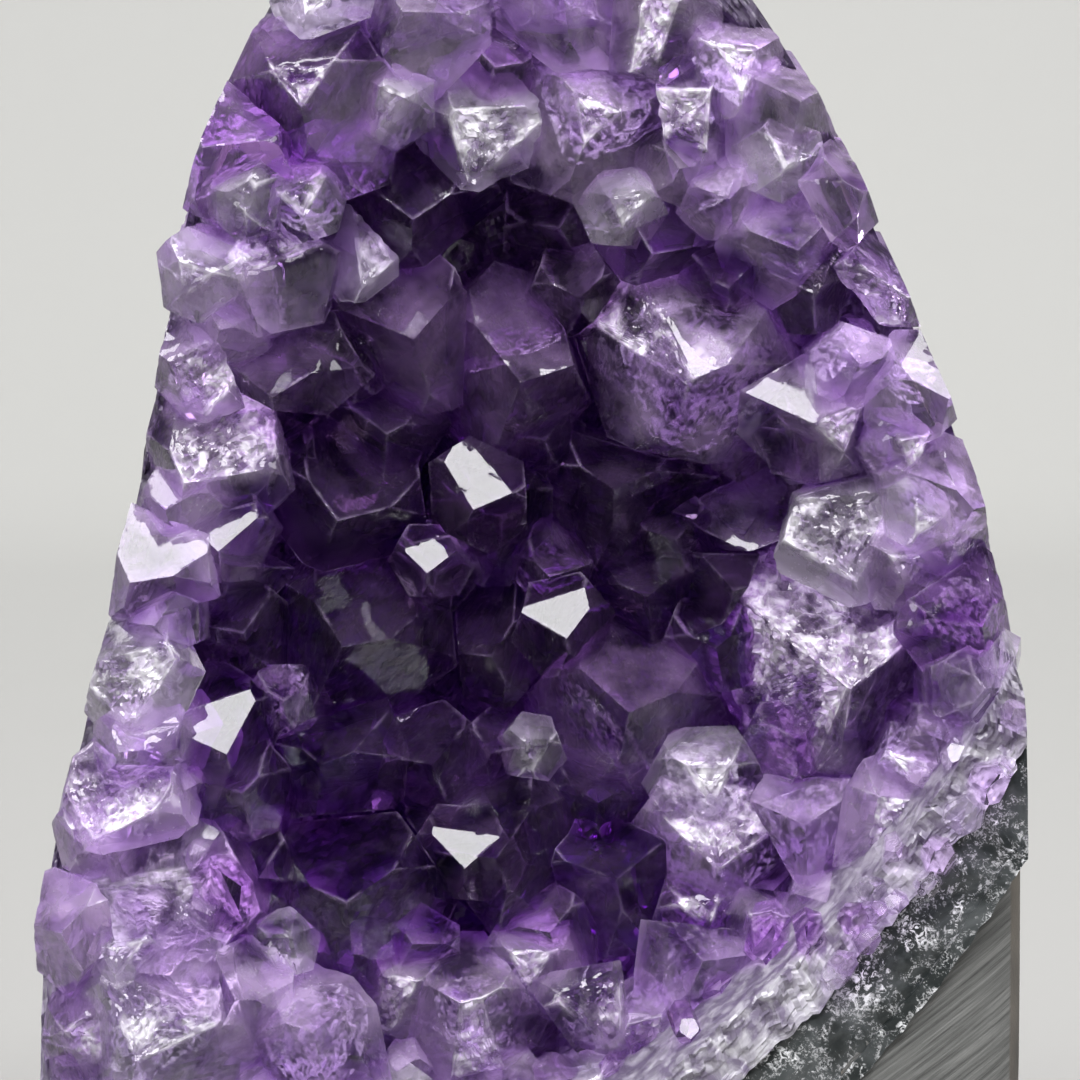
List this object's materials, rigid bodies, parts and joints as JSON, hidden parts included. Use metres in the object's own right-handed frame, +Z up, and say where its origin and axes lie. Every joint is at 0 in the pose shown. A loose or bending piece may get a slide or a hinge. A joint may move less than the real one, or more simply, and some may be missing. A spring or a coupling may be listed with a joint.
{
  "type": "amethyst geode",
  "caption": "Free-standing amethyst geode with a sawn flat base: a basalt rind, a chalcedony band, milky quartz and amethyst crystals on its front.",
  "frame": {"origin": "under the middle of the stone, on the plane of its sawn base", "axes": "+Z up, +X to the right as seen from the front, the crystals face -Y"},
  "size_m": [0.1004, 0.058, 0.14],
  "materials": {
    "basalt": "ground and brushed on the front, rough rock on the back, matt",
    "green_chalcedony": "dense green-grey agate with white specks, waxy",
    "milky_quartz": "white sugary quartz, slightly lilac, waxy to glassy",
    "deep_amethyst": "glassy deep purple crystal",
    "amethyst": "glassy purple crystal",
    "pale_amethyst": "translucent lilac crystal with cloudy veils",
    "clear_quartz": "clear to white broken crystal"
  },
  "bodies": {
    "root": {"basalt_rind": "basalt", "chalcedony_band": "green_chalcedony", "quartz_druse": "milky_quartz", "crown_crystal_01": "pale_amethyst", "crown_crystal_02": "amethyst", "crown_crystal_03": "pale_amethyst", "crown_crystal_04": "clear_quartz", "crown_crystal_05": "pale_amethyst", "crown_crystal_06": "pale_amethyst", "crown_crystal_07": "pale_amethyst", "crown_crystal_08": "pale_amethyst", "crown_crystal_09": "clear_quartz", "left_rim_crystal_01": "pale_amethyst", "left_rim_crystal_02": "amethyst", "left_rim_crystal_03": "pale_amethyst", "left_rim_crystal_04": "clear_quartz", "left_rim_crystal_05": "clear_quartz", "left_rim_crystal_06": "amethyst", "left_rim_crystal_07": "clear_quartz", "left_rim_crystal_08": "pale_amethyst", "left_rim_crystal_09": "pale_amethyst", "left_rim_crystal_10": "pale_amethyst", "left_rim_crystal_11": "pale_amethyst", "right_rim_crystal_01": "pale_amethyst", "right_rim_crystal_02": "pale_amethyst", "right_rim_crystal_03": "pale_amethyst", "right_rim_crystal_04": "pale_amethyst", "right_rim_crystal_05": "pale_amethyst", "right_rim_crystal_06": "pale_amethyst", "right_rim_crystal_07": "amethyst", "right_rim_crystal_08": "pale_amethyst", "right_rim_crystal_09": "pale_amethyst", "right_rim_crystal_10": "clear_quartz", "right_rim_crystal_11": "clear_quartz", "right_rim_crystal_12": "pale_amethyst", "right_rim_crystal_13": "pale_amethyst", "hollow_crystal_01": "deep_amethyst", "hollow_crystal_02": "deep_amethyst", "hollow_crystal_03": "amethyst", "hollow_crystal_04": "deep_amethyst", "hollow_crystal_05": "deep_amethyst", "hollow_crystal_06": "amethyst", "hollow_crystal_07": "amethyst", "hollow_crystal_08": "deep_amethyst", "hollow_crystal_09": "deep_amethyst", "hollow_crystal_10": "deep_amethyst", "hollow_crystal_11": "pale_amethyst", "hollow_crystal_12": "deep_amethyst", "hollow_crystal_13": "deep_amethyst", "hollow_crystal_14": "deep_amethyst", "hollow_crystal_15": "amethyst", "hollow_crystal_16": "deep_amethyst", "hollow_crystal_17": "deep_amethyst", "hollow_crystal_18": "deep_amethyst", "hollow_crystal_19": "deep_amethyst", "lip_crystal_01": "clear_quartz", "lip_crystal_02": "pale_amethyst", "lip_crystal_03": "pale_amethyst", "lip_crystal_04": "pale_amethyst", "lip_crystal_05": "pale_amethyst"}
  },
  "joints": []
}
